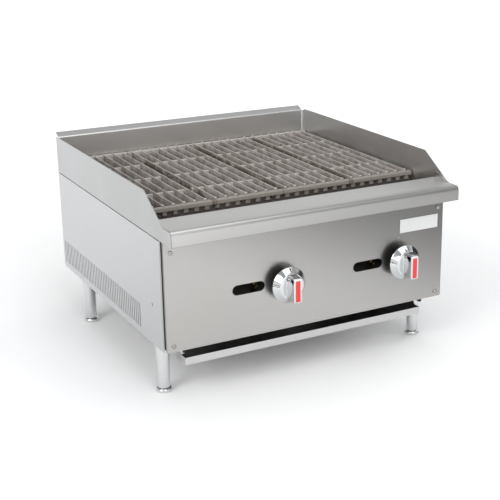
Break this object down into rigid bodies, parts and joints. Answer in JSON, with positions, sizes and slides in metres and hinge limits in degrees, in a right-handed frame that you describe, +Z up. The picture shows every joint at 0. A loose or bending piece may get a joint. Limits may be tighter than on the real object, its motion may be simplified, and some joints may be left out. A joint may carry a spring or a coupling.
{
  "type": "countertop gas charbroiler",
  "caption": "Countertop gas charbroiler: steel cabinet with splash guards, lift-out cast grates over burners and radiants, turning knobs, pull-out drip tray and adjustable feet.",
  "frame": {"origin": "centre of the overall footprint at floor level, between the four feet", "axes": "+X to the right when facing the controls, +Y from the controls to the back, +Z up"},
  "size_m": [0.6118, 0.644, 0.401],
  "materials": {
    "side_panel_steel": "satin stainless sheet, fine vertical grain",
    "splash_steel": "stainless sheet with a soft brushed mirror finish",
    "back_steel": "brushed stainless sheet, a little warmed by heat",
    "panel_steel": "stainless sheet, horizontal brushed grain",
    "rail_steel": "stainless sheet, long grain along the rail",
    "tray_steel": "plain satin stainless sheet",
    "inner_sheet": "aluminised sheet, dulled by heat",
    "grate_iron": "bare cast iron, oiled, matt brown grey",
    "radiant_iron": "bare cast iron",
    "burner_iron": "cast iron tube",
    "pipe_steel": "black steel gas pipe",
    "brass": "turned brass",
    "chrome": "bright chrome plating",
    "leg_chrome": "chrome plated steel",
    "knob_red": "red moulded plastic",
    "knob_black": "black heat-resistant plastic",
    "plate_white": "plain white enamel"
  },
  "bodies": {
    "cabinet": {"left_side_panel": "side_panel_steel", "right_side_panel": "side_panel_steel", "left_splash": "splash_steel", "right_splash": "splash_steel", "back_panel": "back_steel", "front_panel": "panel_steel", "landing_rail": "rail_steel", "badge_plate": "plate_white", "panel_screws": "chrome", "panel_brackets": "inner_sheet", "panel_rivet": "chrome", "side_rivets": "chrome", "base_frame": "inner_sheet", "firebox_liner": "inner_sheet", "heat_shield": "inner_sheet", "front_baffle": "inner_sheet", "grate_rails": "radiant_iron", "radiant_rails": "inner_sheet", "radiant_1": "radiant_iron", "radiant_2": "radiant_iron", "radiant_3": "radiant_iron", "radiant_4": "radiant_iron", "left_burner": "burner_iron", "right_burner": "burner_iron", "burner_rest": "inner_sheet", "left_air_shutter": "inner_sheet", "right_air_shutter": "inner_sheet", "gas_manifold": "pipe_steel", "gas_inlet": "brass", "left_valve": "brass", "right_valve": "brass", "left_pilot": "brass", "right_pilot": "brass", "left_tray_guide": "inner_sheet", "right_tray_guide": "inner_sheet", "front_left_leg": "leg_chrome", "front_right_leg": "leg_chrome", "rear_left_leg": "leg_chrome", "rear_right_leg": "leg_chrome", "leg_nuts": "chrome"},
    "left_knob_group": {"left_knob": "chrome", "left_knob_insert": "knob_red", "left_knob_core": "knob_black", "left_stem": "brass"},
    "right_knob_group": {"right_knob": "chrome", "right_knob_insert": "knob_red", "right_knob_core": "knob_black", "right_stem": "brass"},
    "tray": {"drip_tray": "tray_steel"},
    "grate_far_left": {"grate_1": "grate_iron"},
    "grate_near_left": {"grate_2": "grate_iron"},
    "grate_near_right": {"grate_3": "grate_iron"},
    "grate_far_right": {"grate_4": "grate_iron"},
    "foot_front_left": {"front_left_foot": "leg_chrome"},
    "foot_front_right": {"front_right_foot": "leg_chrome"},
    "foot_rear_left": {"rear_left_foot": "leg_chrome"},
    "foot_rear_right": {"rear_right_foot": "leg_chrome"}
  },
  "joints": [
    {"name": "left_knob_turn", "type": "hinge", "parent": "cabinet", "child": "left_knob_group", "pos_m": [-0.0605, -0.3, 0.1985], "axis": [0, -1, 0], "range_deg": [0, 90]},
    {"name": "right_knob_turn", "type": "hinge", "parent": "cabinet", "child": "right_knob_group", "pos_m": [0.1995, -0.3, 0.1985], "axis": [0, -1, 0], "range_deg": [0, 90]},
    {"name": "tray_slide", "type": "slide", "parent": "cabinet", "child": "tray", "axis": [0, -1, 0], "range_m": [0, 0.5]},
    {"name": "grate_far_left_lift", "type": "slide", "parent": "cabinet", "child": "grate_far_left", "axis": [0, 0, 1], "range_m": [0, 0.1]},
    {"name": "grate_near_left_lift", "type": "slide", "parent": "cabinet", "child": "grate_near_left", "axis": [0, 0, 1], "range_m": [0, 0.1]},
    {"name": "grate_near_right_lift", "type": "slide", "parent": "cabinet", "child": "grate_near_right", "axis": [0, 0, 1], "range_m": [0, 0.1]},
    {"name": "grate_far_right_lift", "type": "slide", "parent": "cabinet", "child": "grate_far_right", "axis": [0, 0, 1], "range_m": [0, 0.1]},
    {"name": "foot_front_left_screw", "type": "slide", "parent": "cabinet", "child": "foot_front_left", "axis": [0, 0, 1], "range_m": [-0.025, 0]},
    {"name": "foot_front_right_screw", "type": "slide", "parent": "cabinet", "child": "foot_front_right", "axis": [0, 0, 1], "range_m": [-0.025, 0]},
    {"name": "foot_rear_left_screw", "type": "slide", "parent": "cabinet", "child": "foot_rear_left", "axis": [0, 0, 1], "range_m": [-0.025, 0]},
    {"name": "foot_rear_right_screw", "type": "slide", "parent": "cabinet", "child": "foot_rear_right", "axis": [0, 0, 1], "range_m": [-0.025, 0]}
  ]
}
